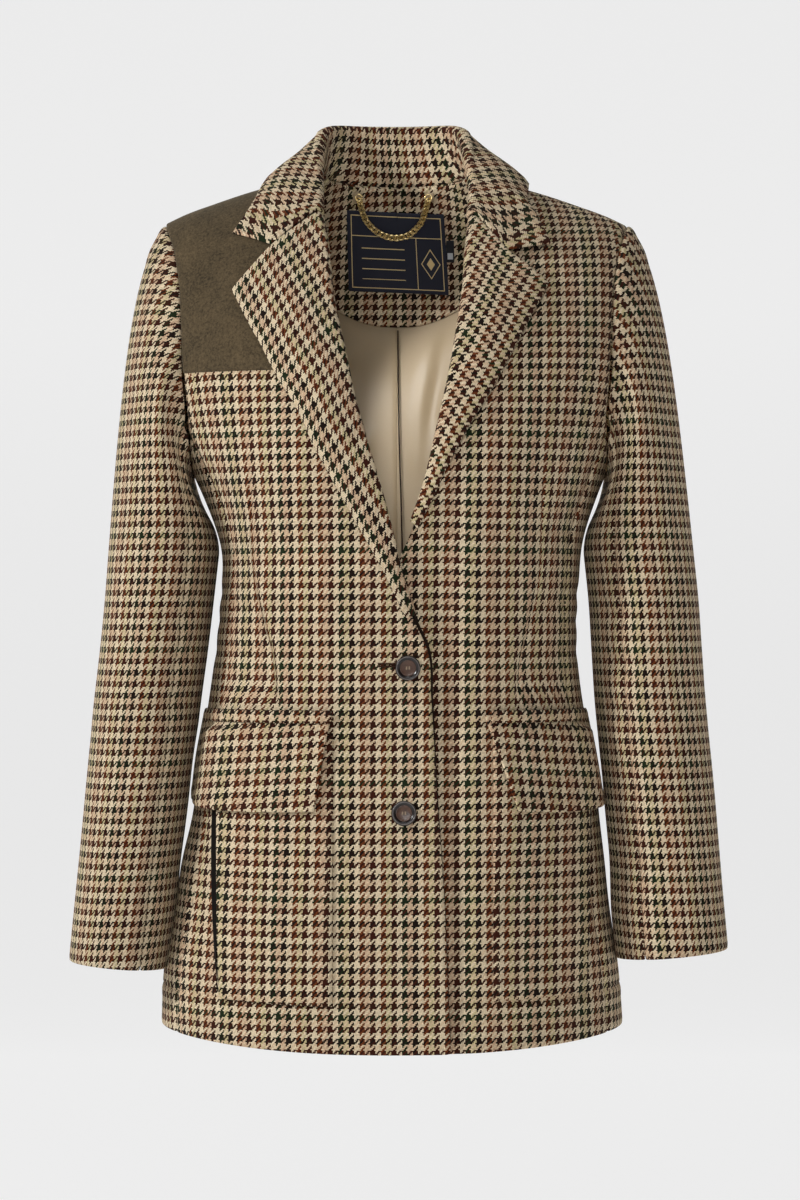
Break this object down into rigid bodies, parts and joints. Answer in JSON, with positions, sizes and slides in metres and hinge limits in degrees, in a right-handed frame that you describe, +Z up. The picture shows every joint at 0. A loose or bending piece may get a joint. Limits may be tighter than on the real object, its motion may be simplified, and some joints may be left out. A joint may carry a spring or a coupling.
{
  "type": "tweed blazer",
  "caption": "Hollow single-breasted tweed jacket in a worn pose, with notched lapels, a shoulder patch, flapped bellows pockets and open neck, hem and cuffs",
  "frame": {"origin": "the middle of the neck opening at shoulder height, where a hanger or a neck holds the garment", "axes": "+Z up along the garment's length, -Y the garment's front, +X the wearer's left"},
  "size_m": [0.5341, 0.2819, 0.754],
  "materials": {
    "tweed": "houndstooth wool tweed, brushed",
    "satin": "smooth taupe satin",
    "moleskin": "matt brown moleskin",
    "horn": "polished dark horn-like resin",
    "label": "woven navy with a gold border",
    "tab": "woven black",
    "chain": "polished"
  },
  "bodies": {
    "root": {"front_right": "tweed", "front_left": "tweed", "side_right": "tweed", "side_left": "tweed", "back_right": "tweed", "back_left": "tweed", "top_sleeve_right": "tweed", "top_sleeve_left": "tweed", "under_sleeve_right": "tweed", "under_sleeve_left": "tweed", "collar": "tweed", "lapel_right": "tweed", "lapel_left": "tweed", "back_neck_facing": "tweed", "lining_right": "satin", "lining_left": "satin", "gun_patch": "moleskin", "welt_right": "tweed", "welt_left": "tweed", "flap_right": "tweed", "flap_left": "tweed", "pocket_right": "tweed", "pocket_left": "tweed", "button_upper": "horn", "button_lower": "horn", "label": "label", "size_tab": "tab", "hanger_chain": "chain", "chain_tab_right": "satin", "chain_tab_left": "satin"}
  },
  "joints": []
}
